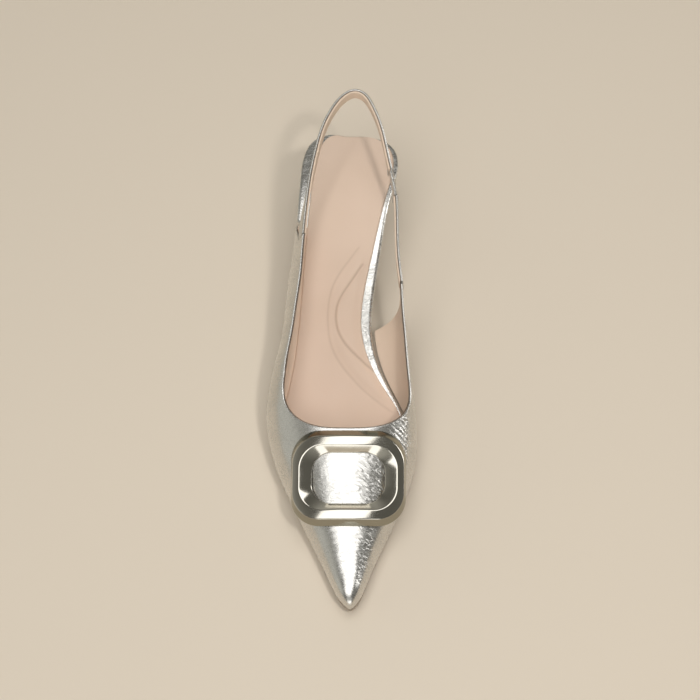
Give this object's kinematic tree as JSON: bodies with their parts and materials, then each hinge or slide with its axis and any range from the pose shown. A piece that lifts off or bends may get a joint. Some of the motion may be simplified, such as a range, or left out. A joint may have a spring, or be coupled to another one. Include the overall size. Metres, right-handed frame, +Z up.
{
  "type": "slingback shoe",
  "caption": "Pointed slingback pump for a right foot, open at the collar, with a slim kitten heel, a heel strap with an elastic gore and a square buckle frame on the vamp.",
  "frame": {"origin": "middle of the bounding box, on the floor the shoe stands on", "axes": "+X towards the inner side of the foot, +Y from the toe to the heel, +Z up"},
  "size_m": [0.079, 0.2527, 0.1045],
  "materials": {
    "silver_leather": "metallic silver, softly crinkled, glossy",
    "beige_sock_leather": "smooth matte beige",
    "sole_leather": "satin taupe",
    "tip_rubber": "matte black",
    "silver_elastic": "gathered silver cover",
    "polished_buckle": "polished pale gold, bevelled"
  },
  "bodies": {
    "root": {"outsole": "sole_leather", "insole_board": "silver_leather", "sock_lining": "beige_sock_leather", "upper": "silver_leather", "sling_strap": "silver_leather", "elastic_gore": "silver_elastic", "inner_strap": "silver_leather", "heel": "silver_leather", "heel_tip": "tip_rubber", "buckle_ring": "polished_buckle"}
  },
  "joints": []
}
